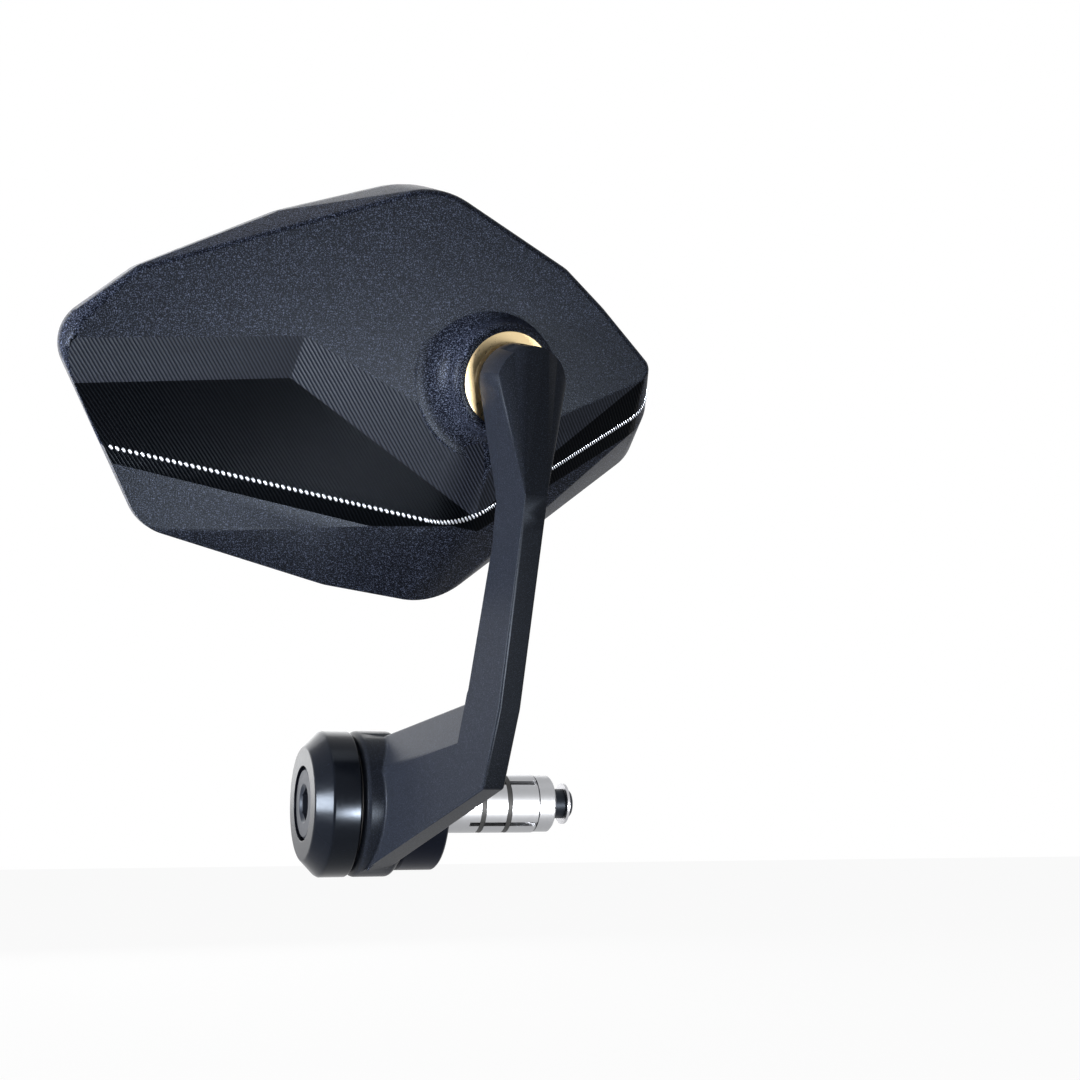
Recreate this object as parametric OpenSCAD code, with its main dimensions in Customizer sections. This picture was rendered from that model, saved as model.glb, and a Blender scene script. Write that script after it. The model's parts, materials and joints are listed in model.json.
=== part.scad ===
// Motorcycle bar end mirror, right-hand side.
// +X runs along the handlebar towards its middle, +Z is up, and the mirror faces the rear (+Y).
// The origin is on the handlebar's axis, at the face that seats on the end of the bar.

/* [Bar end] */
// Diameter of the cap and of the arm's eye
cap_d = 38; // [34:0.5:44]
// Length of the cap along the bar
cap_l = 11.5; // [10:0.5:16]
// Width of the chamfer round the cap's outer face
cap_chamfer = 4; // [1:0.5:5]
// Width of the arm's eye along the bar
eye_w = 11.5; // [9:0.5:16]
// Thickness of each friction washer
washer_t = 0.6; // [0.4:0.1:1.5]
// Diameter of the spacer between the arm and the bar
spacer_d = 34.8; // [31:0.2:40]
// Length of the spacer
spacer_l = 11; // [8:0.5:20]
// Diameter of the spigot that the arm's eye turns on
spigot_d = 17; // [15:0.5:20]

/* [Expander] */
// Outer diameter of the expanding sleeve, a slide fit in the bar
sleeve_d = 15.6; // [14:0.1:18]
// Length of the expanding sleeve
sleeve_l = 28; // [20:1:40]
// Width of the sleeve's slots
slot_w = 1.4; // [1:0.1:2]
// Number of slots in the sleeve
slot_n = 4; // [3:1:6]
// Shank diameter of the clamp bolt
bolt_d = 8; // [6:0.5:8]
// Diameter of the clamp bolt's head
bolt_head_d = 18.4; // [15:0.2:20]
// Height of the clamp bolt's head
bolt_head_h = 5.5; // [4.5:0.5:7]
// Hexagon socket of the clamp bolt, across flats
hex_af = 8; // [6:1:10]
// Travel of the cone nut when the bolt is slackened
cone_travel = 3; // [1:0.5:4]

/* [Arm] */
// Reach from the bar's axis to the heel of the elbow
reach = 66.5; // [58:0.5:80]
// Height of the ball's centre over the bar's axis
ball_z = 101.8; // [90:0.2:115]
// Thickness of the arm's plate
plate_t = 6; // [5:0.5:8]
// Height of the lower segment's upper edge where it leaves the eye
root_top = 17.2; // [12:0.2:18]
// Rise of the lower segment's underside, which leaves the eye as a tangent
underside_rise = 19.4; // [12:0.2:22]
// Rise of the lower segment's upper edge
upper_rise = 8.8; // [4:0.2:14]
// Height and depth of the wide bevel along the lower segment's upper edge
bevel_h = 10.5; // [6:0.5:12]
bevel_depth = 5; // [1:0.5:5]
// Depth of the upright at its top, front to back
upright_w = 12.8; // [11:0.2:16]
// Forward lean of the upright's back edge
upright_lean = 17; // [12:1:20]
// Height of the upright, up to where it turns towards the knuckle
upright_h = 62; // [54:1:68]
// Angle by which the plate turns inwards from square to the bar
plate_turn = 12.6; // [6:0.2:18]
// Diameter of the knuckle at the top of the arm
knuckle_d = 18; // [16:0.5:22]
// Length of the knuckle along the stud
knuckle_l = 9; // [7:0.5:12]

/* [Ball joint] */
// Diameter of the ball
ball_d = 16; // [14:0.5:18]
// Diameter of the stud's shank
shank_d = 8; // [6:0.5:9]
// Play between the ball and its seats
ball_play = 0.05; // [0.02:0.01:0.1]
// Distance from the ball's centre to the front of the clamp ring
ring_z = 8.5; // [8:0.1:10]
// Outer diameter of the clamp ring
ring_d = 23; // [21:0.5:26]
// Gap between the clamp ring and the knuckle
knuckle_gap = 2.6; // [2:0.1:4]
// Turn of the boss towards the middle of the bike
boss_turn = 9; // [0:1:20]
// Downward tilt of the boss, which lifts the glass towards the rider's eye
boss_tilt = 18; // [8:1:24]
// Roll of the head about the boss
head_roll = 7; // [0:1:12]

/* [Head] */
// Depth of the head from the boss's matte face to the rim
head_t = 21; // [19:0.5:26]
// Slant of the matte face, thinner towards the outer tip
face_slant = 7; // [4:0.5:8]
// Height of the side wall behind the matte side band
side_h = 6; // [5:0.5:8]
// Width of the rim round the glass
rim_w = 3; // [2.5:0.5:5]
// Width of the bevel round the rim's rear edge
rim_bevel = 1.5; // [0.5:0.5:2]
// Thickness of the glass
glass_t = 2; // [1.8:0.2:3]
// Radius of curvature of the convex glass
glass_r = 1400; // [1100:50:2000]
// Thickness of the adhesive pad behind the glass
pad_t = 0.8; // [0.5:0.1:1.5]
// Play between the glass and the rim
glass_play = 0.3; // [0.2:0.1:0.5]
// Wall of the housing
wall = 3; // [2.5:0.5:4]

/* [Hidden] */
$fn = 64;
hull_fn = 32;
fit = 0.05;       // radial play of a turning or sliding fit
far = 300;        // longer than any piece, for half spaces
skin = 0.01;      // overlap that makes a cut clean

// Stations along the bar, from its seat outwards
spacer_x = -spacer_l;
inner_washer_x = spacer_x - washer_t;
eye_x = inner_washer_x - eye_w;
outer_washer_x = eye_x - washer_t;
cap_x = outer_washer_x - cap_l;
bush_wall = 1.2;
bolt_washer_t = 1;
bolt_recess = 0.4;
bolt_floor_x = cap_x + bolt_recess + bolt_head_h + bolt_washer_t;
cone_l = 12;
cone_in = 7;
cone_x = sleeve_l - cone_in;
cone_tip_d = bolt_d + 1.8;
clip_x = cone_x + cone_l + cone_travel + 1;
clip_t = 0.8;
bolt_end_x = clip_x + clip_t + 1.5;
spigot_end_x = inner_washer_x + 2;

// The ball's centre, and the length from it to the knuckle's two ends
ball = [-5.2, -64.4, ball_z];
knuckle_in = ring_z + knuckle_gap;

// The set screw's dog point sits in a groove round the stud's shank
screw_z = knuckle_in + knuckle_l/2;
set_screw_d = 4;
groove_r = 0.8;

// Heights in the head's own frame: z along the boss, zero at the ball's centre
face_z = 2.5;
rim_z = face_z - head_t;
glass_mid = [-28, -6];
glass_half = 80;
glass_bulge = 1;
glass_sag = pow(glass_half, 2)/(2*glass_r);
floor_z = rim_z - glass_bulge + glass_t + glass_sag + pad_t;
pad_inset = 18;
pad_half = 55;
pad_z = rim_z - glass_bulge + glass_t + pow(pad_half, 2)/(2*glass_r) + 0.02;
seat_r = ring_d/2 - 0.5;
seat_depth = ball_d/2 + 2.5;
spring_t = 1.2;
socket_floor = seat_depth + spring_t;

// Outline of the side wall, as [x, y, corner radius]
rim_corners = [
    [-90.5, 6.3, 9.8], [-79, 15, 9.5], [-44, 18, 20], [-18, 17, 27.5],
    [37.5, -3, 11], [38, -16, 10], [-12, -36.5, 20.7], [-32, -33.5, 19], [-73.5, -26, 12]
];
// Corners of the matte face, before the facets are milled
face_corners = [
    [-89.5, 6, 9.5], [-79.5, 15.5, 9.5], [-18, 24, 19.5], [11.5, 18.5, 9.5],
    [22.5, 12.5, 6.5], [36.3, 2, 3.8], [-0.3, -10.2, 7], [-82, -1, 9.5]
];
face_edge = 1.5;
// The crest and the foot of the narrow facet below it, as [x, y, radius, depth under the matte face]
crest_corners = [[-88.5, -14, 3, 3.6], [-9.5, -17, 19, 4.8], [33, -3, 8.5, 4]];
band_corners = [[-85, -17.5, 4, 5], [-9.5, -21, 20, 6.8], [33, -7, 9.5, 6]];
// The matte face's lower edge turns at the knee, and drops by the first milled facet's run and fall
facet_knee = [-46.9, 9.1];
facet_low = [-3.8, -15.1];
facet_run = 10;
facet_drop = 3;
facet_level = 1.5;  // rise of the first facet's upper edge towards the knee
floor_fall = 3.4;   // angle of the lower facet against the matte face

function face_height(x) = face_z + x*tan(face_slant);

// Places its children in the head's frame: x inwards, y up, z along the boss
module in_head() {
    translate(ball)
        rotate([90 + boss_tilt, 0, boss_turn])
            rotate([0, 0, head_roll])
                children();
}

// Places its children in the stud's frame, which has no roll
module in_stud() {
    translate(ball) rotate([90 + boss_tilt, 0, boss_turn]) children();
}

// A turned ring or tube along the bar, from x0 to x1
module bar_tube(x0, x1, outer_d, inner_d) {
    translate([x0, 0, 0]) rotate([0, 90, 0])
        difference() {
            cylinder(d = outer_d, h = x1 - x0);
            translate([0, 0, -1]) cylinder(d = inner_d, h = x1 - x0 + 2);
        }
}

// A turned piece along the bar, from its half profile [x, radius]
module bar_turned(profile) {
    rotate([0, 90, 0]) rotate_extrude() polygon([for (p = profile) [p[1], p[0]]]);
}

/* Head */

// Flat shape through a list of rounded corners, drawn in by a margin
module corner_shape(corners, margin = 0) {
    hull() for (c = corners) translate([c[0], c[1]]) circle(r = c[2] - margin, $fn = 96);
}

// One corner of the hull that makes the housing, with its edge rounded in two steps
module edge_disc(r, edge) {
    cylinder(r = r, h = skin, $fn = 72);
    translate([0, 0, edge*0.55]) cylinder(r = r - edge*0.16, h = skin, $fn = 72);
    translate([0, 0, edge*0.88]) cylinder(r = r - edge*0.52, h = skin, $fn = 72);
    translate([0, 0, edge]) cylinder(r = r - edge, h = skin, $fn = 72);
}

module on_face(x, y, depth = 0) {
    translate([x, y, face_height(x) - depth]) rotate([0, -face_slant, 0]) children();
}

module housing_form() {
    hull() {
        for (c = rim_corners) {
            translate([c[0], c[1], rim_z]) cylinder(r = c[2] - rim_bevel, h = skin, $fn = 96);
            translate([c[0], c[1], rim_z + 2*rim_bevel]) cylinder(r = c[2], h = side_h - 2*rim_bevel, $fn = 96);
        }
        for (c = face_corners) on_face(c[0], c[1], face_edge) edge_disc(c[2], face_edge);
        for (c = crest_corners) on_face(c[0], c[1], c[3]) cylinder(r = c[2], h = skin, $fn = 96);
        for (c = band_corners) on_face(c[0], c[1], c[3]) cylinder(r = c[2], h = skin, $fn = 96);
    }
}

// Everything beyond a wall that starts on the line from a point of the matte face, along a
// direction, and falls away from it by the facet's drop over its run
module beyond_wall(start, along) {
    on_face(start[0], start[1])
        rotate([0, 0, along])
            rotate([atan2(facet_drop, facet_run), 0, 0])
                translate([-far/2, -far, 0]) cube([far, far, far/2]);
}

// Everything in front of the lower facet
module before_floor() {
    on_face(facet_knee[0], facet_knee[1] - facet_run, facet_drop)
        rotate([floor_fall, 0, 0])
            translate([-far/2, -far/2, 0]) cube([far, far, far/2]);
}

// The two milled facets below the matte face, which meet it along a line that turns at the knee
module milled_facets() {
    low_edge = facet_low - facet_knee;
    intersection() {
        before_floor();
        beyond_wall(facet_knee, facet_level);
        beyond_wall(facet_knee, atan2(low_edge[1], low_edge[0]));
    }
}

module boss() {
    r = ring_d/2;
    foot = 6;
    collar = 2.2;
    rotate_extrude($fn = 96)
        difference() {
            polygon([[0, -6], [r + foot + 3, -6], [r + foot + 3, face_z - 1.5],
                [r + collar + 1, face_z + 1.5], [r + collar, ring_z + 0.2 - 1.6],
                [r + collar - 0.5, ring_z + 0.2 - 0.5], [r + collar - 1.4, ring_z + 0.2],
                [0, ring_z + 0.2]]);
            translate([r + foot + 3.2, face_z + 4.6]) circle(r = 6.8, $fn = 64);
        }
}

module socket_bore() {
    translate([0, 0, -socket_floor]) cylinder(r = seat_r + fit, h = socket_floor + ring_z + 5);
    translate([0, 0, 1.5]) cylinder(d = ring_d + 2*fit, h = ring_z + 5);
}

// Lightening pockets behind the matte face, shallower behind the milled facets
module pockets() {
    inset = 8;
    milled_y = facet_knee[1] + wall;
    milled_depth = facet_drop + wall + 1.5;
    difference() {
        translate([0, 0, floor_z - skin]) linear_extrude(far/4)
            intersection() {
                corner_shape(rim_corners, inset);
                corner_shape(concat(face_corners, crest_corners), wall);
            }
        on_face(0, 0, wall) translate([-far/2, milled_y, 0]) cube([far, far, far]);
        on_face(0, 0, milled_depth) translate([-far/2, milled_y - far, 0]) cube([far, far, far]);
        translate([0, 0, rim_z]) cylinder(r = seat_r + wall + 1, h = far/2);
    }
}

module mirror_housing() {
    color([0.09, 0.1, 0.13]) in_head() difference() {
        union() {
            difference() {
                housing_form();
                milled_facets();
            }
            boss();
        }
        socket_bore();
        pockets();
        translate([0, 0, rim_z - skin])
            linear_extrude(floor_z - rim_z + skin) corner_shape(rim_corners, rim_w);
    }
}

// A ball round the glass's centre of curvature, which lies in front of the head
module glass_ball(depth) {
    translate([glass_mid[0], glass_mid[1], rim_z - glass_bulge + glass_r])
        sphere(r = glass_r - depth, $fn = 128);
}

module glass_prism(z_top, margin) {
    translate([0, 0, rim_z - 5]) linear_extrude(z_top - rim_z + 5) corner_shape(rim_corners, margin);
}

module mirror_glass() {
    color([0.75, 0.8, 0.86]) in_head() difference() {
        intersection() {
            glass_prism(floor_z - 0.2, rim_w + glass_play);
            glass_ball(0);
        }
        glass_ball(glass_t);
    }
}

// The flat foam pad meets the curved glass round its own edge
module glass_pad() {
    color([0.05, 0.05, 0.05]) in_head()
        translate([0, 0, pad_z])
            linear_extrude(floor_z - pad_z)
                offset(delta = -pad_inset) corner_shape(rim_corners, rim_w);
}

/* Ball joint */

module ball_seat() {
    color([0.2, 0.2, 0.22]) in_head() difference() {
        translate([0, 0, -seat_depth]) cylinder(r = seat_r - fit, h = seat_depth + 1.3);
        sphere(d = ball_d + 2*ball_play);
        translate([0, 0, -seat_depth - 1]) cylinder(r = ball_d/5, h = seat_depth);
    }
}

module seat_spring() {
    color([0.7, 0.7, 0.72]) in_head() translate([0, 0, -socket_floor])
        rotate_extrude() polygon([[4.5, spring_t - 0.6], [seat_r - 1, 0], [seat_r - 0.6, 0.6], [4.5, spring_t]]);
}

module clamp_ring() {
    lip_z = 5;
    lip_r = 7.2;
    mouth_r = 8.8;
    color([0.83, 0.62, 0.3]) in_head() difference() {
        translate([0, 0, 1.6]) cylinder(d = ring_d, h = ring_z - 1.6);
        sphere(d = ball_d + 2*ball_play);
        translate([0, 0, 1]) cylinder(r = 5.9, h = ring_z);
        translate([0, 0, lip_z]) cylinder(r1 = lip_r, r2 = mouth_r, h = ring_z - lip_z + skin);
    }
}

module ball_stud() {
    neck_d = 7.4;
    collar_t = 0.9;
    color([0.6, 0.6, 0.62]) in_stud() difference() {
        union() {
            sphere(d = ball_d);
            cylinder(d = neck_d, h = knuckle_in + 1);
            translate([0, 0, knuckle_in - collar_t]) cylinder(d = shank_d + 3.5, h = collar_t);
            translate([0, 0, knuckle_in]) cylinder(d = shank_d, h = knuckle_l - 2);
        }
        translate([0, 0, screw_z]) rotate_extrude()
            translate([shank_d/2, 0]) circle(r = groove_r, $fn = 24);
    }
}

/* Arm */

// Places its children in the plate's frame: x forwards along the reach, y up, z outwards
module in_plate() {
    translate([plate_x, 0, 0]) rotate([90, 0, -90 + plate_turn]) children();
}

elbow_r = 2.5;
plate_x = -22;           // where the plate's outer face crosses the plane through the bar's axis
eye_r = cap_d/2;
root = [eye_r*sin(underside_rise), -eye_r*cos(underside_rise)];
heel = [reach, root[1] + (reach - root[0])*tan(underside_rise)];
front_knee = [reach + 7.1, 21.5];
front_top = [reach + 16.8, upright_h];
back_top = [front_top[0] - upright_w, upright_h];
turn_h = 8;              // height over which the upright turns towards the knuckle
turn_back = 1.5;
turn_front = 1.6;

// Where the upright's back edge meets the lower segment's upper edge
inner_y = (root_top + (back_top[0] - upright_h*tan(upright_lean) - root[0])*tan(upper_rise))
    /(1 - tan(upright_lean)*tan(upper_rise));
inner_corner = [back_top[0] - (upright_h - inner_y)*tan(upright_lean), inner_y];

module plate_outline() {
    offset(r = -elbow_r) offset(delta = elbow_r)
        polygon([root, heel, front_knee, front_top,
            front_top + [turn_front, turn_h], back_top + [turn_back, turn_h], back_top, inner_corner,
            [root[0], root_top]]);
}

bevel_land = 0.4;        // how far the wide bevel stops short of the upright's back edge

// What the wide bevel takes off the lower segment
module upper_bevel() {
    intersection() {
        translate([root[0], root_top - bevel_h, 0])
            rotate([0, 0, upper_rise])
                rotate([-atan2(bevel_depth, bevel_h), 0, 0])
                    translate([-far/2, 0, 0]) cube([far, 2*bevel_h, far/2]);
        translate([inner_corner[0] - bevel_land, inner_corner[1]]) rotate([0, 0, -upright_lean])
            translate([-far, -far/2, -far/2]) cube([far, far, far]);
    }
}

module knuckle() {
    in_stud() translate([0, 0, knuckle_in]) cylinder(d = knuckle_d, h = knuckle_l, $fn = 96);
}

module mirror_arm() {
    eye_edge = 1.2;
    shank_room = knuckle_l - 1.8;
    root_depth = 0.5;        // how deep the neck of the knuckle is rooted in the upright
    root_inset = 0.15;       // and how far it stays inside the upright's sides there
    color([0.14, 0.15, 0.18]) difference() {
        union() {
            bar_turned([[eye_x, 0], [eye_x, eye_r - eye_edge], [eye_x + eye_edge, eye_r],
                [inner_washer_x - eye_edge, eye_r], [inner_washer_x, eye_r - eye_edge], [inner_washer_x, 0]]);
            in_plate() difference() {
                translate([0, 0, -plate_t]) linear_extrude(plate_t) plate_outline();
                upper_bevel();
            }
            hull() {
                in_plate() translate([back_top[0] + turn_back + root_inset, upright_h + turn_h - root_depth,
                    root_inset - plate_t])
                    cube([upright_w + turn_front - turn_back, root_depth, plate_t] - root_inset*[2, 0, 2]);
                knuckle();
            }
        }
        bar_tube(cap_x, spacer_x, spigot_d + 2*bush_wall, 0);
        in_stud() translate([0, 0, knuckle_in - 1]) cylinder(d = shank_d + 2*fit, h = shank_room + 1);
        in_stud() translate([0, 0, screw_z]) rotate([-90, 0, 0]) cylinder(d = set_screw_d + 0.1, h = knuckle_d);
    }
}

module arm_set_screw() {
    screw_l = 4;
    screw_foot = shank_d/2 + 0.2;
    dog_d = 1.1;
    hex_d = 2.3;
    hex_depth = 1.8;
    color([0.1, 0.1, 0.1]) in_stud()
        translate([0, 0, screw_z]) rotate([-90, 0, 0]) difference() {
            union() {
                translate([0, 0, screw_foot]) cylinder(d = set_screw_d, h = screw_l);
                translate([0, 0, shank_d/2 - groove_r + 0.2]) cylinder(d = dog_d, h = 1);
            }
            translate([0, 0, screw_foot + screw_l - hex_depth]) cylinder(d = hex_d, h = screw_l, $fn = 6);
        }
}

module arm_bush() {
    color([0.75, 0.7, 0.6])
        bar_tube(eye_x, inner_washer_x, spigot_d + 2*bush_wall, spigot_d + 2*fit);
}

/* Bar end */

module end_cap() {
    r = cap_d/2;
    color([0.08, 0.08, 0.1]) difference() {
        bar_turned([[cap_x, 0], [cap_x, r - cap_chamfer - 0.6], [cap_x + 0.3, r - cap_chamfer],
            [cap_x + cap_chamfer - 0.2, r - 0.4], [cap_x + cap_chamfer + 0.5, r],
            [outer_washer_x - 0.5, r], [outer_washer_x, r - 0.5], [outer_washer_x, spigot_d/2],
            [spigot_end_x, spigot_d/2], [spigot_end_x, 0]]);
        bar_tube(cap_x - 1, bolt_floor_x, bolt_head_d + 1, 0);
        bar_tube(cap_x, 0, bolt_d + 0.6, 0);
    }
}

module friction_washer(x) {
    color([0.25, 0.25, 0.25])
        bar_tube(x, x + washer_t, spacer_d - 1, spigot_d + 0.4);
}

module outer_friction_washer() {
    friction_washer(outer_washer_x);
}

module inner_friction_washer() {
    friction_washer(inner_washer_x);
}

module bar_spacer() {
    r = spacer_d/2;
    groove = 1.6;
    color([0.1, 0.11, 0.16]) difference() {
        bar_turned([[spacer_x, 0], [spacer_x, r - 0.6], [spacer_x + 0.6, r],
            [-0.6, r], [0, r - 0.6], [0, sleeve_d/2], [2, sleeve_d/2 - 1], [4, sleeve_d/2 - 2.4], [4, 0]]);
        bar_tube(spacer_x - 1, spigot_end_x, spigot_d + 0.4, 0);
        bar_tube(spacer_x, 6, bolt_d + 0.6, 0);
        translate([-groove, 0, 0]) rotate([0, 90, 0]) difference() {
            cylinder(r = r - 2, h = groove + 1);
            translate([0, 0, -1]) cylinder(r = r - 2 - groove, h = groove + 3);
        }
    }
}

module spacer_seal() {
    groove = 1.6;
    color([0.05, 0.05, 0.05]) translate([-groove/2, 0, 0]) rotate([0, 90, 0])
        rotate_extrude() translate([spacer_d/2 - 2 - groove/2, 0]) circle(r = groove/2 - 0.05, $fn = 24);
}

module expander_sleeve() {
    cone_r = sleeve_d/2 - 0.9;
    color([0.5, 0.5, 0.52]) difference() {
        bar_turned([[0.3, sleeve_d/2], [sleeve_l, sleeve_d/2],
            [sleeve_l, cone_r], [cone_x, cone_tip_d/2 + fit], [4.3, bolt_d/2 + 1],
            [4.3, sleeve_d/2 - 2.1], [2.3, sleeve_d/2 - 0.7]]);
        for (i = [0 : slot_n - 1])
            rotate([i*360/slot_n + 45, 0, 0])
                translate([9, -slot_w/2, 0]) cube([sleeve_l, slot_w, sleeve_d]);
        for (x = band_x) bar_tube(x, x + band_w, sleeve_d + 1, sleeve_d - 1.2);
    }
}

band_w = 1.4;
band_x = [sleeve_l*0.42, sleeve_l*0.68];

module sleeve_bands() {
    color([0.05, 0.05, 0.05]) for (x = band_x)
        translate([x + band_w/2, 0, 0]) rotate([0, 90, 0]) difference() {
            cylinder(d = sleeve_d - 0.1, h = band_w - 0.2, center = true);
            cylinder(d = sleeve_d - 1.2 + 2*fit, h = band_w + 1, center = true);
        }
}

module cone_nut() {
    color([0.6, 0.6, 0.62]) difference() {
        bar_turned([[cone_x + 0.4, 0], [cone_x + 0.4, cone_tip_d/2 - fit], [sleeve_l + 0.4, sleeve_d/2 - 0.9 - fit],
            [sleeve_l + 0.4, sleeve_d/2 - 0.2], [cone_x + cone_l - 0.5, sleeve_d/2 - 0.2],
            [cone_x + cone_l, sleeve_d/2 - 0.7], [cone_x + cone_l, 0]]);
        bar_tube(cone_x - 1, cone_x + cone_l + 1, bolt_d + 2*fit, 0);
    }
}

module clamp_bolt() {
    head_x = cap_x + bolt_recess;
    hex_r = hex_af/2/cos(30);
    color([0.12, 0.12, 0.14]) difference() {
        bar_turned([[head_x, 0], [head_x, bolt_head_d/2 - 0.6], [head_x + 0.6, bolt_head_d/2],
            [head_x + bolt_head_h, bolt_head_d/2], [head_x + bolt_head_h, bolt_d/2],
            [clip_x, bolt_d/2], [clip_x, bolt_d/2 - 0.8], [clip_x + clip_t, bolt_d/2 - 0.8],
            [clip_x + clip_t, bolt_d/2], [bolt_end_x - 0.6, bolt_d/2], [bolt_end_x, bolt_d/2 - 0.6],
            [bolt_end_x, 0]]);
        translate([head_x - 1, 0, 0]) rotate([0, 90, 0]) cylinder(r = hex_r, h = bolt_head_h - 0.5, $fn = 6);
        translate([head_x - skin, 0, 0]) rotate([0, 90, 0]) cylinder(r1 = hex_r + 0.5, r2 = hex_r - 0.2, h = 0.7);
    }
}

module bolt_washer() {
    color([0.3, 0.3, 0.32])
        bar_tube(bolt_floor_x - bolt_washer_t, bolt_floor_x, bolt_head_d, bolt_d + 0.4);
}

module bolt_clip() {
    color([0.5, 0.5, 0.5]) bar_tube(clip_x + 0.05, clip_x + clip_t - 0.05, bolt_d + 3, bolt_d - 1.5);
}

mirror_housing();
mirror_glass();
glass_pad();
ball_seat();
seat_spring();
clamp_ring();
ball_stud();
mirror_arm();
arm_bush();
arm_set_screw();
end_cap();
outer_friction_washer();
inner_friction_washer();
bar_spacer();
spacer_seal();
expander_sleeve();
sleeve_bands();
cone_nut();
clamp_bolt();
bolt_washer();
bolt_clip();
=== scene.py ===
# %% [markdown]
# # A bar end mirror, dressed for the camera
# The CAD model already holds every piece at its real size, so this lesson is about finishes: blasted
# and milled anodised aluminium, gloss black caps, a gold clamp ring and convex mirror glass. The
# frame is loaded first. Nothing that is added may outgrow it.

# %% Load the frame
import json
import math
import bpy
from mathutils import Euler, Matrix, Vector


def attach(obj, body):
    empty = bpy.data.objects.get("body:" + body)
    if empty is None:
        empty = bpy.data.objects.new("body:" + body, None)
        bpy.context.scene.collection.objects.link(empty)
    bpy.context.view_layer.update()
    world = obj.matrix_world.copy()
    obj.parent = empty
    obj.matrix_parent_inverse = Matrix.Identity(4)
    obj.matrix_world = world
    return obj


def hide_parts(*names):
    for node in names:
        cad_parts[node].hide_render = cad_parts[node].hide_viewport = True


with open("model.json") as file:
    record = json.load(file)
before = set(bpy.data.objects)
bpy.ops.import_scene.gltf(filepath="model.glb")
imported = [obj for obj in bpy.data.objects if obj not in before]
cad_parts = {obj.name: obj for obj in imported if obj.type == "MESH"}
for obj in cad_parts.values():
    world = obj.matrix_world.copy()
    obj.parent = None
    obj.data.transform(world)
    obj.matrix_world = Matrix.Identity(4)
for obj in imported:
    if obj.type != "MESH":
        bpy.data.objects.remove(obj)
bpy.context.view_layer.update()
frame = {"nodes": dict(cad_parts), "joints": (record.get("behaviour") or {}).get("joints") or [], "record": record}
MM = 0.001
print("nodes loaded:", len(frame["nodes"]))

# %% [markdown]
# The head hangs at an angle on its ball joint, so its grooves and edges are easiest to describe in
# its own axes. The record's hinge for the head gives the ball's centre and the boss's direction. The
# head's own x axis then lies level, and is rolled a few degrees about the boss.

# %% The head's own axes
HEAD_ROLL = math.radians(7)
turn = next(j for j in frame["joints"] if j["name"] == "head_turn")
BALL = Vector(turn["pos_m"])
BOSS_DIR = Vector(turn["axis"]).normalized()
level = Vector((0, 0, 1)).cross(BOSS_DIR).normalized()
HEAD_X = Matrix.Rotation(HEAD_ROLL, 3, BOSS_DIR) @ level
HEAD_Y = BOSS_DIR.cross(HEAD_X)
HEAD_TURN = Matrix((HEAD_X, HEAD_Y, BOSS_DIR)).transposed()


def from_head(x, y, z):
    """A point given in millimetres along the head's own axes, in the frame's metres."""
    return BALL + HEAD_TURN @ (Vector((x, y, z)) * MM)


def to_head(point):
    """A point of the frame in millimetres along the head's own axes."""
    return HEAD_TURN.transposed() @ (Vector(point) - BALL) / MM


print("head axes:", HEAD_X.to_tuple(2), HEAD_Y.to_tuple(2), BOSS_DIR.to_tuple(2))

# %% [markdown]
# A small helper keeps each material short: it makes an empty node tree with one shader, and nodes
# are added and joined by name. Constants go on the shader's own sockets, because the exported model
# drops a constant that comes through other nodes.


# %% Helpers for materials
def new_material(name, color, metallic, roughness, **sockets):
    """A material with one Principled shader. Further sockets are given by name."""
    material = bpy.data.materials.new(name)
    material.use_nodes = True
    shader = material.node_tree.nodes["Principled BSDF"]
    shader.inputs["Base Color"].default_value = (*color, 1)
    shader.inputs["Metallic"].default_value = metallic
    shader.inputs["Roughness"].default_value = roughness
    for socket, value in sockets.items():
        shader.inputs[socket.replace("_", " ")].default_value = value
    return material


def add_node(material, kind, **values):
    """Adds a node and sets its properties or, where the name is an input's, its input."""
    node = material.node_tree.nodes.new(kind)
    for key, value in values.items():
        if key in node.inputs:
            node.inputs[key].default_value = value
        else:
            setattr(node, key, value)
    return node


def join(material, source, target):
    material.node_tree.links.new(source, target)


def shader_of(material):
    return material.node_tree.nodes["Principled BSDF"]


def place_vector(material, turn=(0, 0, 0), scale=(1, 1, 1)):
    """Object coordinates, turned and scaled, as the vector of a pattern."""
    coordinates = add_node(material, "ShaderNodeTexCoord")
    mapping = add_node(material, "ShaderNodeMapping", Rotation=turn, Scale=scale)
    join(material, coordinates.outputs["Object"], mapping.inputs["Vector"])
    return mapping.outputs["Vector"]


def add_range(material, value, low, high, **limits):
    """Turns a pattern's value, from 0 to 1 or between other limits, into a range."""
    ramp = add_node(material, "ShaderNodeMapRange")
    ramp.inputs["To Min"].default_value = low
    ramp.inputs["To Max"].default_value = high
    for limit, number in limits.items():
        ramp.inputs[limit.replace("_", " ")].default_value = number
    join(material, value, ramp.inputs["Value"])
    return ramp.outputs["Result"]


def add_bump(material, height, strength, distance):
    """Lifts the surface by a pattern."""
    bump = add_node(material, "ShaderNodeBump", Strength=strength, Distance=distance)
    join(material, height, bump.inputs["Height"])
    join(material, bump.outputs["Normal"], shader_of(material).inputs["Normal"])


def add_painted_glint(material, share, dark, pale):
    """Mixes a dark colour and a paler one by a pattern; the paler one is a painted glint, used for painted sparkle
    and painted groove highlights.
    """
    mix = add_node(material, "ShaderNodeMix", data_type="RGBA")
    mix.inputs["A"].default_value = (*dark, 1)
    mix.inputs["B"].default_value = (*pale, 1)
    join(material, share, mix.inputs["Factor"])
    join(material, mix.outputs["Result"], shader_of(material).inputs["Base Color"])


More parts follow.
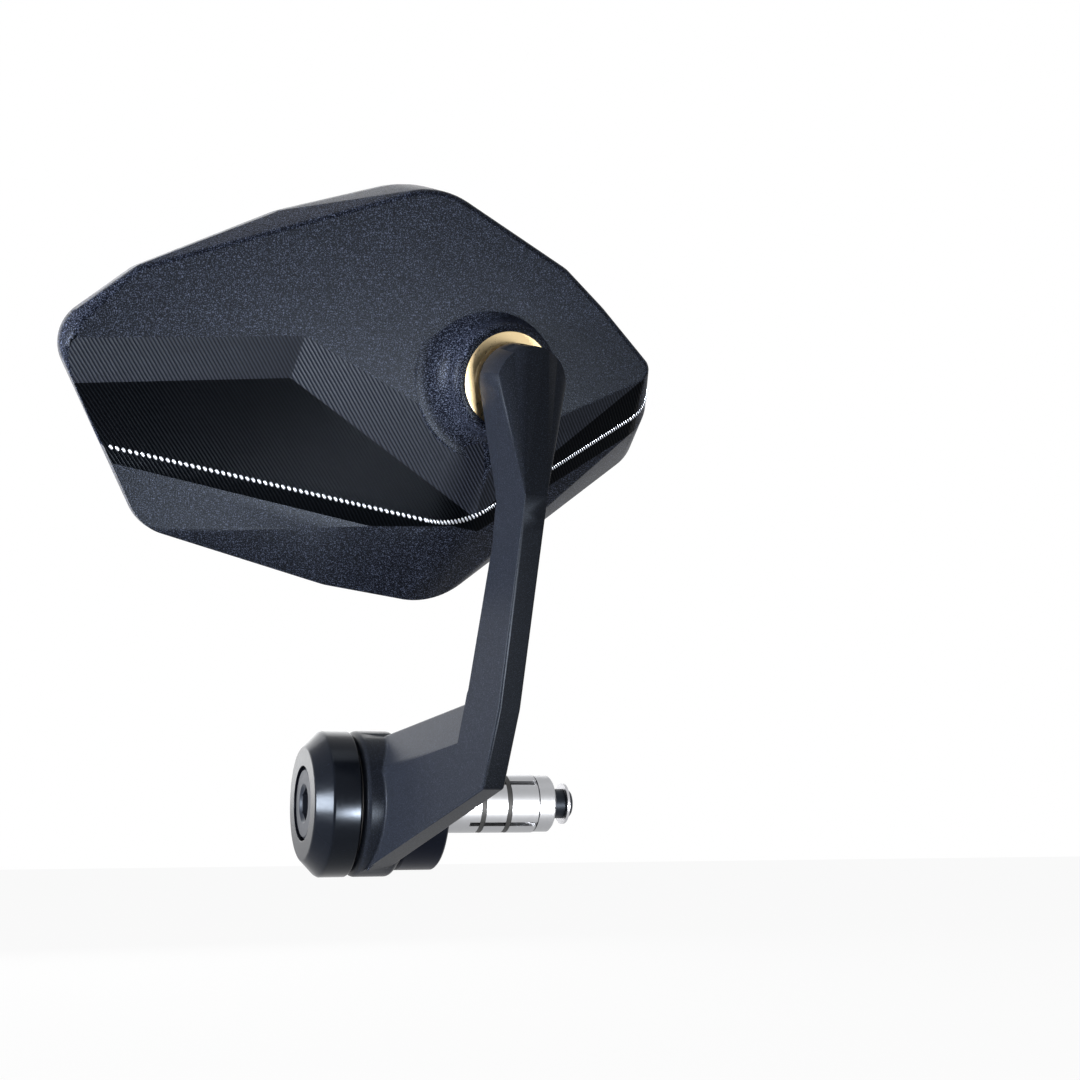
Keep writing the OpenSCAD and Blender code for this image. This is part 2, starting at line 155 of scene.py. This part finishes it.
def add_grain(material, vector, scale, strength, distance, smooth, rough):
    """Fine grain: noise that lifts the surface and varies its roughness."""
    noise = add_node(material, "ShaderNodeTexNoise", Scale=scale, Detail=3.0)
    join(material, vector, noise.inputs["Vector"])
    tone = add_range(material, noise.outputs["Fac"], smooth, rough)
    join(material, tone, shader_of(material).inputs["Roughness"])
    add_bump(material, noise.outputs["Fac"], strength, distance)


print("helpers ready, all lengths in metres, MM =", MM)

# %% [markdown]
# Bead blasting leaves the head covered in tiny dimples, and anodising turns them blue-black. A few
# flanks face the light and sparkle, and this sparkle is painted: paler grains in the colour. The grain is a
# fine noise in the bump. The paler grains are a second noise, cut off high, which mixes a dark colour
# with a paler painted highlight of the same metal.


# %% Blasted and anodised aluminium
OXIDE_TINT = (0.72, 0.83, 1, 1)
SPECKLE_SIZE = 0.7


def oxide_black(name, color, roughness, specular):
    """Black anodised aluminium, which mirrors a little and faintly blue."""
    return new_material(name, color, 0.0, roughness, Specular_IOR_Level=specular, Specular_Tint=OXIDE_TINT)


def blasted(name, dark, pale, roughness, grain_mm, lift_mm, specular):
    """Grain of a size and lift in millimetres, with paler speckles, a painted sparkle, a little finer than the
    grain.
    """
    material = oxide_black(name, dark, roughness, specular)
    vector = place_vector(material)
    add_grain(material, vector, 1/(grain_mm*MM), 0.8, lift_mm*MM, roughness - 0.1, roughness + 0.12)
    # Painted sparkle: the paler speckles are painted highlights mixed into the colour.
    speckle = add_node(material, "ShaderNodeTexNoise", Scale=1/(grain_mm*SPECKLE_SIZE*MM), Detail=2.0)
    join(material, vector, speckle.inputs["Vector"])
    share = add_range(material, speckle.outputs["Fac"], 0.0, 1.0, From_Min=0.52, From_Max=0.8)
    add_painted_glint(material, share, dark, pale)
    return material


print("blasted: speckles", SPECKLE_SIZE, "of the grain's size")

# %% [markdown]
# The lower facets are milled after blasting. The cutter leaves fine slanting grooves, which give
# the facets their look: dark, with a satin glint across them. The glint is partly painted: the tops of
# the grooves are painted paler, a painted highlight. Bands in the head's own axes make the grooves, so
# they keep their slant at every pose. A slow noise bends them a little.


# %% Milled grooves
GROOVE_PITCH_MM = 0.75
GROOVE_DEPTH_MM = 0.08
GROOVE_SCALE = math.tau/20/(GROOVE_PITCH_MM*MM)
GROOVE_SLANT = math.radians(-57)


def milled(name, color, painted_ridge_glint, roughness, specular):
    """Grooves across the head's own axes. Their tops are painted paler, a painted highlight, and their hollows are
    smoother.
    """
    material = oxide_black(name, color, roughness, specular)
    across = Matrix.Rotation(-(GROOVE_SLANT + math.radians(90)), 3, "Z") @ HEAD_TURN.transposed()
    vector = place_vector(material, turn=across.to_euler())
    bands = add_node(material, "ShaderNodeTexWave", Scale=GROOVE_SCALE, Distortion=0.6, Detail=1.0)
    join(material, vector, bands.inputs["Vector"])
    add_bump(material, bands.outputs["Fac"], 1.0, GROOVE_DEPTH_MM*MM)
    # Painted highlight: the tops of the grooves are painted paler than the hollows.
    add_painted_glint(material, bands.outputs["Fac"], color, painted_ridge_glint)
    tone = add_range(material, bands.outputs["Fac"], roughness - 0.08, roughness + 0.12)
    join(material, tone, shader_of(material).inputs["Roughness"])
    return material


print("milled: grooves every", GROOVE_PITCH_MM, "mm")

# %% [markdown]
# The other finishes are close relatives: satin black for the arm, gloss black for the turned cap,
# turned metal with fine lathe rings, moulded plastic and rubber, and the silvered glass.


# %% The other finishes
FINE_GRAIN = 900.0
MOULD_GRAIN = 1800.0
GLASS_RIPPLE = 40.0


def gloss_black(name, color, roughness, specular=0.22):
    """Polished before it is anodised, with hardly any grain."""
    material = oxide_black(name, color, roughness, specular)
    add_grain(material, place_vector(material), FINE_GRAIN, 0.05, 0.02*MM, roughness - 0.04, roughness + 0.06)
    return material


def turned_metal(name, color, roughness):
    """Fine rings left by the lathe run round the x axis, so the pattern is stretched across it."""
    material = new_material(name, color, 1.0, roughness)
    vector = place_vector(material, scale=(6, 1, 1))
    add_grain(material, vector, FINE_GRAIN, 0.04, 0.01*MM, roughness - 0.06, roughness + 0.1)
    return material


def moulded(name, color, roughness):
    """Plastic or rubber with the fine grain of its mould."""
    material = new_material(name, color, 0.0, roughness)
    add_grain(material, place_vector(material), MOULD_GRAIN, 0.2, 0.03*MM, roughness - 0.08, roughness + 0.1)
    return material


def mirror_silver():
    """Silvered glass: nearly perfect, with the faintest ripple of float glass."""
    material = new_material("mirror_silver", (0.86, 0.89, 0.92), 1.0, 0.02)
    add_grain(material, place_vector(material), GLASS_RIPPLE, 0.02, 0.01*MM, 0.01, 0.03)
    return material


# The second colour of each blasted finish is painted sparkle, a painted highlight.
FINISHES = {
    "housing": blasted("blasted_black", (0.001, 0.0015, 0.004), (0.19, 0.23, 0.36), 0.38, 0.36, 0.08, 0.07),
    "arm": blasted("satin_black", (0.01, 0.012, 0.017), (0.045, 0.054, 0.085), 0.34, 0.3, 0.025, 0.07),
    "cap": gloss_black("gloss_black", (0.003, 0.004, 0.007), 0.22, 0.14),
    "spacer": gloss_black("spacer_black", (0.004, 0.006, 0.016), 0.35, 0.08),
    "brass": turned_metal("gold_ring", (0.95, 0.74, 0.42), 0.28),
    "steel": turned_metal("bright_steel", (0.45, 0.45, 0.47), 0.28),
    "plain_aluminium": turned_metal("plain_aluminium", (0.36, 0.365, 0.38), 0.36),
    "black_steel": gloss_black("black_oxide", (0.012, 0.014, 0.02), 0.4),
    "glass": mirror_silver(),
    "pad": moulded("foam_pad", (0.02, 0.02, 0.02), 0.8),
    "plastic": moulded("black_plastic", (0.03, 0.03, 0.033), 0.5),
    "rubber": moulded("seal_rubber", (0.015, 0.015, 0.016), 0.6),
}
# One milled finish in two copies: the walls' paler tones are painted light, the floor's near-black tones painted
# shade.
MILLED_WALL_PAINTED_LIT = milled("milled_wall_painted_lit", (0.005, 0.006, 0.009), (0.03, 0.034, 0.05), 0.36, 0.08)
MILLED_FLOOR_PAINTED_SHADE = milled("milled_floor_painted_shade", (0.0005, 0.0008, 0.0015), (0.003, 0.004, 0.006), 0.24, 0.02)
CREST = turned_metal("bare_crest", (0.66, 0.7, 0.78), 0.3)
slot_of = {row["node"]: row["material_slot"] for row in frame["record"]["subparts"]}
for name, piece in frame["nodes"].items():
    piece.data.materials.clear()
    piece.data.materials.append(FINISHES[slot_of[name]])
print("finishes:", sorted(FINISHES))

# %% [markdown]
# No real edge is perfectly sharp: anodised parts are tumbled or chamfered first, and it is the thin
# bright line along each edge that makes them read as metal. A copy of the CAD node is merged,
# because its triangles come loose. Its sharp edges then get a narrow bevel, and its normals are
# weighted by area so that flat faces stay flat. The copy stands for the node.

# %% Edges that catch the light
SMOOTH_ANGLE = math.radians(40)
MERGE_MM = 0.002
FLAT_ANGLE = math.radians(0.4)
EDGE_STEPS = 3
body_of = {node: body for body, nodes in frame["record"]["behaviour"]["bodies"].items() for node in nodes}


def only(piece):
    """Selects one piece and nothing else, and makes it the one that operators act on."""
    bpy.ops.object.select_all(action="DESELECT")
    piece.select_set(True)
    bpy.context.view_layer.objects.active = piece


def finish_edges(node, edge_mm=0):
    """Copies a CAD node, rounds its sharp edges and smooths its curved faces."""
    piece = bpy.data.objects.new(node + "_finished", frame["nodes"][node].data.copy())
    bpy.context.scene.collection.objects.link(piece)
    only(piece)
    bpy.ops.object.mode_set(mode="EDIT")
    bpy.ops.mesh.select_all(action="SELECT")
    bpy.ops.mesh.remove_doubles(threshold=MERGE_MM*MM)
    bpy.ops.mesh.dissolve_limited(angle_limit=FLAT_ANGLE)
    bpy.ops.object.mode_set(mode="OBJECT")
    if edge_mm:
        bevel = piece.modifiers.new("edges", "BEVEL")
        bevel.width = edge_mm*MM
        bevel.segments = EDGE_STEPS
        bevel.limit_method = "ANGLE"
        bevel.angle_limit = SMOOTH_ANGLE
        bevel.loop_slide = False
        bpy.ops.object.modifier_apply(modifier="edges")
    bpy.ops.object.shade_smooth_by_angle(angle=SMOOTH_ANGLE)
    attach(piece, body_of[node])
    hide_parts(node)
    print(piece.name, len(piece.data.polygons), "faces")
    return piece


def weigh_normals(piece):
    """Flat faces keep their own direction, and the narrow faces beside them take up the turn."""
    only(piece)
    weigh = piece.modifiers.new("weigh", "WEIGHTED_NORMAL")
    weigh.keep_sharp = True
    bpy.ops.object.modifier_apply(modifier="weigh")


print("bodies:", sorted(set(body_of.values())))

# %% [markdown]
# The arm's edges are rounder than the rest, as tumbling leaves them on a large piece. A
# modifier can't tell them from the rims of small holes, so they are chosen by place and length:
# sharp, below the arm's bend, and too long to belong to a hole. They are then bevelled in edit mode.

# %% The arm's rounder edges
ARM_EDGE_MM = 0.6
ARM_FACE_MM2 = 0.5
ARM_BEND_MM = 66
HOLE_EDGE_MM = 1


def turn_between(pair):
    """Angle between two faces."""
    return pair[0].normal.angle(pair[1].normal)


def edges_between(mesh, least_mm2, least_turn=0.03):
    """Each edge where two faces of at least a certain area meet at an angle, with the two faces."""
    faces_at = {}
    for polygon in mesh.polygons:
        for key in polygon.edge_keys:
            faces_at.setdefault(key, []).append(polygon)
    for edge in mesh.edges:
        pair = faces_at[edge.key]
        large = min(polygon.area for polygon in pair) > least_mm2*MM*MM
        if len(pair) == 2 and large and turn_between(pair) > least_turn:
            yield edge, pair


def bevel_edges(piece, chosen, width_mm, steps, clamp):
    """Rounds the edges of a piece that have the chosen numbers."""
    only(piece)
    bpy.context.tool_settings.mesh_select_mode = (False, True, False)
    bpy.ops.object.mode_set(mode="EDIT")
    bpy.ops.mesh.select_all(action="DESELECT")
    bpy.ops.object.mode_set(mode="OBJECT")
    for number in chosen:
        piece.data.edges[number].select = True
    bpy.ops.object.mode_set(mode="EDIT")
    bpy.ops.mesh.bevel(offset=width_mm*MM, segments=steps, affect="EDGES", clamp_overlap=clamp)
    bpy.ops.object.mode_set(mode="OBJECT")
    print(piece.name, "edges rounded:", len(chosen))


def is_arm_edge(mesh, edge):
    """Whether an edge lies below the arm's bend and is too long for a small hole's."""
    start, end = (mesh.vertices[i].co for i in edge.vertices)
    return (end - start).length > HOLE_EDGE_MM*MM and max(start.z, end.z) < ARM_BEND_MM*MM


arm = finish_edges("mirror_arm")
sharp = [edge for edge, pair in edges_between(arm.data, ARM_FACE_MM2, SMOOTH_ANGLE)]
lower = [edge.index for edge in sharp if is_arm_edge(arm.data, edge)]
bevel_edges(arm, lower, ARM_EDGE_MM, EDGE_STEPS, clamp=False)
bpy.ops.object.shade_smooth_by_angle(angle=SMOOTH_ANGLE)
weigh_normals(arm)

# %% [markdown]
# The turned pieces have a fine chamfer that runs all round, so the modifier does for them. The ball
# stud and the glass are only smoothed.

# %% The turned pieces and the glass
for node, edge_mm in (("end_cap", 0.15), ("bar_spacer", 0.15), ("clamp_bolt", 0.1),
                      ("clamp_ring", 0.1), ("ball_stud", 0), ("mirror_glass", 0)):
    weigh_normals(finish_edges(node, edge_mm))

# %% [markdown]
# Below the large milled facet, the head has a crest, a narrow facet and a side band. On the long side
# the CAD model cuts all three with one plane, so they are parted here: the copy's faces are cut along
# the crest and along the narrow facet's foot, and the points on the cuts move to their own depths.

# %% The crest and the narrow facet
FACE_Z = 2.5
FACE_SLANT = math.radians(7)
CREST_CORNERS = ((-88.5, -14, 3, 3.6), (-9.5, -17, 19, 4.8), (33, -3, 8.5, 4))
FOOT_CORNERS = ((-85, -17.5, 4, 5), (-9.5, -21, 20, 6.8), (33, -7, 9.5, 6))
BOSS_REACH = 20.8
MILLED_DEPTH = 8
STEEPEST_CUT = 60
ON_CUT = 0.01
PAST_CORNER = 3


def face_height(x):
    """Height of the slanted matte face at x."""
    return FACE_Z + x*math.tan(FACE_SLANT)


def edge_facing(a, b):
    """Direction that the straight edge under two round corners faces."""
    span = Vector((b[0] - a[0], b[1] - a[1]))
    lean = math.asin((a[2] - b[2])/span.length)
    below = Vector((span.y, -span.x)).normalized()
    return below*math.cos(lean) + span.normalized()*math.sin(lean)


def corner_point(corner, facing):
    """Where a round corner's edge faces a direction, as [x, y, depth under the matte face]."""
    x, y, radius, depth = corner
    return Vector((x + radius*facing.x, y + radius*facing.y, depth))


def slope_of(polygon):
    """Angle of a face against the matte face, in degrees."""
    facing = HEAD_TURN.transposed() @ polygon.normal
    return math.degrees(facing.angle(Vector((-math.sin(FACE_SLANT), 0, math.cos(FACE_SLANT)))))


def middle_of(mesh, polygon):
    """A face's middle, weighted by area, in the head's axes."""
    points = [to_head(mesh.vertices[i].co) for i in polygon.vertices]
    total, middle = 0, Vector()
    for b, c in zip(points[1:], points[2:]):
        area = (b - points[0]).cross(c - points[0]).dot(HEAD_TURN.transposed() @ polygon.normal)
        total += area
        middle += area*(points[0] + b + c)/3
    return middle/total if abs(total) > 1e-9 else points[0]


def cut_along(piece, corners):
    """Cuts the faces near a straight edge in two along it, and sets the points there to its depth."""
    facing = edge_facing(*corners[:2])
    start, end = corner_point(corners[0], facing), corner_point(corners[1], facing)
    only(piece)
    for polygon in piece.data.polygons:
        x, y, z = middle_of(piece.data, polygon)
        near_edge = x < 0 and y < 0 and math.hypot(x, y) > BOSS_REACH
        polygon.select = near_edge and z > face_height(x) - MILLED_DEPTH and slope_of(polygon) < STEEPEST_CUT
    bpy.ops.object.mode_set(mode="EDIT")
    bpy.ops.mesh.bisect(plane_co=from_head(start.x, start.y, 0), plane_no=HEAD_TURN @ facing.to_3d())
    bpy.ops.object.mode_set(mode="OBJECT")
    moved = 0
    for vertex in piece.data.vertices:
        x, y, z = to_head(vertex.co)
        off = (x - start.x)*facing.x + (y - start.y)*facing.y
        at_edge = start.x - PAST_CORNER < x < end.x and abs(face_height(x) - z - start.z) < PAST_CORNER
        if abs(off) < ON_CUT and at_edge:
            share = (x - start.x)/(end.x - start.x)
            depth = start.z + share*(end.z - start.z)
            vertex.co = from_head(x, y, face_height(x) - depth)
            moved += 1
    print("cut along", corners[0], "points moved:", moved)


housing = finish_edges("mirror_housing")
cut_along(housing, CREST_CORNERS)
cut_along(housing, FOOT_CORNERS)

# %% [markdown]
# The housing gets three finishes: blasted all round, and milled in two tones on the walls and on the
# floor they slope down to. The two milled tones are painted light and shade: the walls are painted
# paler, as if lit, and the floor near black, as if in shade. The faces are told apart by their slope and
# by the lines where the milling starts and ends. The cutter's round nose leaves a narrow hollow where
# the milled walls meet the floor. Where other large flat faces meet, the edge is kept sharp. Slopes are
# in degrees.

# %% Blasted and milled faces
MILLED_FROM = ((-100, 7.9), (-46.9, 9.3), (-3.8, -14.9), (1.5, -16.8), (39, -1.4))
MILLED_TO = ((-100, -17.7), (-86, -21.4), (-14.6, -38.3), (-7, -38.2), (1, -38), (38, -15.1), (43, -4))
WALL_SLOPE = math.degrees(math.atan2(3, 10))
FLOOR_SLOPE = 3.4
SAME_SLOPE = 0.7
FLATTEST, STEEPEST = 1, 45
NEAR_SLOPE = 3
SLIVER_MM2 = 5
VALLEY_MM2 = 100
LARGE_MM2 = 60
FOOT_SLACK = 0.1
FILLET_FOOT = BOSS_REACH + 1.5
WALL_END = 30
HOLLOW_MM = 1.2
HOLLOW_STEPS = 4
VALLEY_FOOT = -25
BLASTED_SLOT, WALL_SLOT, FLOOR_SLOT = range(3)


def height_on(line, x):
    """Height of a line through points [x, y] at x."""
    for (x0, y0), (x1, y1) in zip(line, line[1:]):
        if x0 <= x <= x1:
            return y0 + (y1 - y0)*(x - x0)/(x1 - x0)
    return None


def finish_of(mesh, polygon):
    """Which of the housing's finishes a face gets."""
    slope = slope_of(polygon)
    x, y, z = middle_of(mesh, polygon)
    reach = math.hypot(x, y)
    sliver = polygon.area < SLIVER_MM2*MM*MM
    top, foot = height_on(MILLED_FROM, x), height_on(MILLED_TO, x)
    if top is None or foot is None or not foot - FOOT_SLACK < y < top:
        return BLASTED_SLOT
    if z < face_height(x) - MILLED_DEPTH or not FLATTEST < slope < STEEPEST:
        return BLASTED_SLOT
    if abs(slope - WALL_SLOPE) < SAME_SLOPE and not sliver:
        return WALL_SLOT
    if reach < FILLET_FOOT and (abs(slope - FLOOR_SLOPE) > SAME_SLOPE or sliver):
        return BLASTED_SLOT
    if reach < WALL_END and abs(slope - WALL_SLOPE) < NEAR_SLOPE:
        return WALL_SLOT
    return FLOOR_SLOT


def is_valley(mesh, pair):
    """Whether two faces are both milled and lie above the crest."""
    return min(p.material_index for p in pair) > BLASTED_SLOT and middle_of(mesh, pair[0]).y > VALLEY_FOOT


# The two milled materials are one finish in two tones of painted light and shade.
housing.data.materials.append(MILLED_WALL_PAINTED_LIT)
housing.data.materials.append(MILLED_FLOOR_PAINTED_SHADE)
for polygon in housing.data.polygons:
    polygon.material_index = finish_of(housing.data, polygon)

mesh = housing.data
valley = [edge.index for edge, pair in edges_between(mesh, VALLEY_MM2) if is_valley(mesh, pair)]
bevel_edges(housing, valley, HOLLOW_MM, HOLLOW_STEPS, clamp=True)
for edge, pair in edges_between(housing.data, LARGE_MM2):
    edge.use_edge_sharp = True
weigh_normals(housing)
print("milled faces:", sum(p.material_index > 0 for p in housing.data.polygons))

# %% [markdown]
# Where the large facet ends, the cutter's passes break through the edge and leave a row of tiny
# bright scallops. They are real bumps, so they sparkle from any side. One is shaped from a ball and
# copied along the crest, which runs straight, round the lower corner and up to the inner tip. The
# passes are widest on the straight.

# %% Scallops along the crest
CREST_PITCHES = (1.45, 0.9, 0.62, 0.62)
STEP_MM = 0.05
LAST_FACING = Vector((1, 0.1))
SCALLOP_LENGTH = 0.75
SCALLOP_WIDTH = 0.3
SCALLOP_LIFT = 0.3
SCALLOP_SINK = 0.12


def facing_at(turn):
    """The direction at an angle from the head's x axis."""
    return Vector((math.cos(turn), math.sin(turn)))


def crest_runs():
    """The crest as runs of points [x, y, depth], straight and round by turns."""
    runs = []
    facings = [edge_facing(a, b) for a, b in zip(CREST_CORNERS, CREST_CORNERS[1:])] + [LAST_FACING]
    for number, facing in enumerate(facings[:-1]):
        start, end = (corner_point(CREST_CORNERS[k], facing) for k in (number, number + 1))
        steps = int((end - start).length/STEP_MM)
        runs.append([start.lerp(end, i/steps) for i in range(steps)])
        low, high = (math.atan2(f.y, f.x) for f in facings[number:number + 2])
        steps = int((high - low)*CREST_CORNERS[number + 1][2]/STEP_MM)
        turns = [low + (high - low)*i/steps for i in range(steps)]
        runs.append([corner_point(CREST_CORNERS[number + 1], facing_at(turn)) for turn in turns])
    return runs


def crest_places():
    """Centre and pitch of each scallop."""
    places = []
    for run, pitch in zip(crest_runs(), CREST_PITCHES):
        places += [(run[i], pitch) for i in range(0, len(run) - 1, round(pitch/STEP_MM))]
    return places


def make_scallop(point, pitch):
    """A ball drawn out across the crest and sunk into it, at its place on the head."""
    centre = from_head(point.x, point.y, face_height(point.x) - point.z - SCALLOP_SINK)
    bpy.ops.mesh.primitive_uv_sphere_add(segments=8, ring_count=6, radius=MM, location=(0, 0, 0))
    scallop = bpy.context.object
    shape = Matrix.Diagonal((SCALLOP_LENGTH, SCALLOP_WIDTH*pitch, SCALLOP_LIFT)).to_4x4()
    turn = HEAD_TURN.to_4x4() @ Matrix.Rotation(GROOVE_SLANT, 4, "Z")
    scallop.data.transform(Matrix.Translation(centre) @ turn @ shape)
    return scallop


bpy.ops.object.select_all(action="DESELECT")
scallops = [make_scallop(*place) for place in crest_places()]
bpy.ops.object.select_all(action="DESELECT")
for scallop in scallops:
    scallop.select_set(True)
crest = scallops[0]
bpy.context.view_layer.objects.active = crest
bpy.ops.object.join()
crest.name = "crest_scallops"
bpy.ops.object.shade_smooth()
crest.data.materials.append(CREST)
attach(crest, "head")
print("crest:", len(crest.data.polygons), "faces")

# %% [markdown]
# The photograph was taken from in front, level with the end cap and from a little beyond it, so that
# the cap's face just shows. The camera stands there and looks up a little. The focal length is worked
# out from one in pixels, for a frame of 1080 pixels.

# %% Camera
FRAME_PX = 1080
FOCAL_PX = 1750
CAMERA_PLACE = (-0.1386, -0.4536, -0.0003)
CAMERA_YAW = math.radians(-20.5)
CAMERA_LIFT = math.radians(8.6)

camera_data = bpy.data.cameras.new("camera")
camera_data.sensor_width = 36
camera_data.lens = FOCAL_PX / FRAME_PX * camera_data.sensor_width
camera_data.clip_start = 0.01
camera = bpy.data.objects.new("camera", camera_data)
camera.location = CAMERA_PLACE
camera.rotation_euler = Euler((math.radians(90) + CAMERA_LIFT, 0, CAMERA_YAW))
bpy.context.scene.collection.objects.link(camera)
bpy.context.scene.camera = camera
print("lens:", round(camera_data.lens, 1), "mm")

# %% [markdown]
# The studio is white all round. The world is white to the camera and in reflections, and much dimmer
# as a light, so that the mirror keeps its dark tones. The floor mixes the same white with a matte
# surface, which still takes the mirror's shadow.


# %% White surroundings and floor
FLOOR_Z = -0.12
FLOOR_SIZE = 6
FLOOR_VEIL = 0.94
WORLD_LIGHT = 0.16


def white_where_seen(tree, dim):
    """A white glow for what the camera and reflections see, in front of the given shader."""
    path = tree.nodes.new("ShaderNodeLightPath")
    seen = tree.nodes.new("ShaderNodeMath")
    seen.operation = "MAXIMUM"
    either = tree.nodes.new("ShaderNodeMath")
    either.operation = "MAXIMUM"
    mix = tree.nodes.new("ShaderNodeMixShader")
    tree.links.new(path.outputs["Is Camera Ray"], seen.inputs[0])
    tree.links.new(path.outputs["Is Glossy Ray"], seen.inputs[1])
    tree.links.new(seen.outputs[0], either.inputs[0])
    tree.links.new(path.outputs["Is Transmission Ray"], either.inputs[1])
    tree.links.new(either.outputs[0], mix.inputs[0])
    tree.links.new(dim, mix.inputs[1])
    return mix


def floor_material():
    """Nearly all glow to the camera, and a matte floor to the light."""
    material = bpy.data.materials.new("floor_white")
    material.use_nodes = True
    tree = material.node_tree
    tree.nodes.clear()
    output = tree.nodes.new("ShaderNodeOutputMaterial")
    diffuse = tree.nodes.new("ShaderNodeBsdfDiffuse")
    diffuse.inputs["Color"].default_value = (0.8, 0.8, 0.8, 1)
    glow = tree.nodes.new("ShaderNodeEmission")
    veil = tree.nodes.new("ShaderNodeMixShader")
    veil.inputs[0].default_value = FLOOR_VEIL
    tree.links.new(diffuse.outputs[0], veil.inputs[1])
    tree.links.new(glow.outputs[0], veil.inputs[2])
    mix = white_where_seen(tree, diffuse.outputs[0])
    tree.links.new(veil.outputs[0], mix.inputs[2])
    tree.links.new(mix.outputs[0], output.inputs["Surface"])
    return material


bpy.ops.object.select_all(action="DESELECT")
bpy.ops.mesh.primitive_plane_add(size=FLOOR_SIZE, location=(0, 0, FLOOR_Z))
floor = bpy.context.object
floor.name = "floor"
floor.data.materials.append(floor_material())

world = bpy.data.worlds.new("studio")
bpy.context.scene.world = world
world.use_nodes = True
tree = world.node_tree
dim = tree.nodes["Background"]
dim.inputs["Color"].default_value = (0.92, 0.96, 1, 1)
dim.inputs["Strength"].default_value = WORLD_LIGHT
white = tree.nodes.new("ShaderNodeBackground")
white.inputs["Color"].default_value = (1, 1, 1, 1)
mix = white_where_seen(tree, dim.outputs[0])
tree.links.new(white.outputs[0], mix.inputs[2])
tree.links.new(mix.outputs[0], tree.nodes["World Output"].inputs["Surface"])
bpy.context.scene.view_settings.view_transform = "Standard"
print("world light:", WORLD_LIGHT)

# %% [markdown]
# Four soft panels light the mirror: one beyond the end cap, for the arm's flat side, a large one
# behind, which draws the pale rim round the head's left end, a small one low in front, which gives
# the matte face and the milled facet their glow, and a weak one above.


# %% Soft panels
def panel(name, place, aim, size, watts, only_glow=False):
    """A soft square lamp at a place, turned to face a point. It can be set to show only where mirrored."""
    data = bpy.data.lights.new(name, "AREA")
    data.size = size
    data.energy = watts
    lamp = bpy.data.objects.new(name, data)
    lamp.visible_camera = False
    lamp.visible_diffuse = not only_glow
    lamp.location = place
    lamp.rotation_euler = (Vector(aim) - Vector(place)).to_track_quat("-Z", "Y").to_euler()
    bpy.context.scene.collection.objects.link(lamp)
    return lamp


AIM = (-0.02, -0.05, 0.06)
panel("left_panel", (-1.0, -0.22, 0.0), AIM, 0.3, 26)
panel("back_panel", (-0.05, 0.9, 0.42), AIM, 0.9, 5)
panel("front_panel", (0.075, -0.33, -0.085), (-0.03, -0.07, 0.09), 0.06, 3, only_glow=True)
panel("top_panel", (0.0, -0.3, 1.1), AIM, 0.6, 1.5)
print("panels: 4")
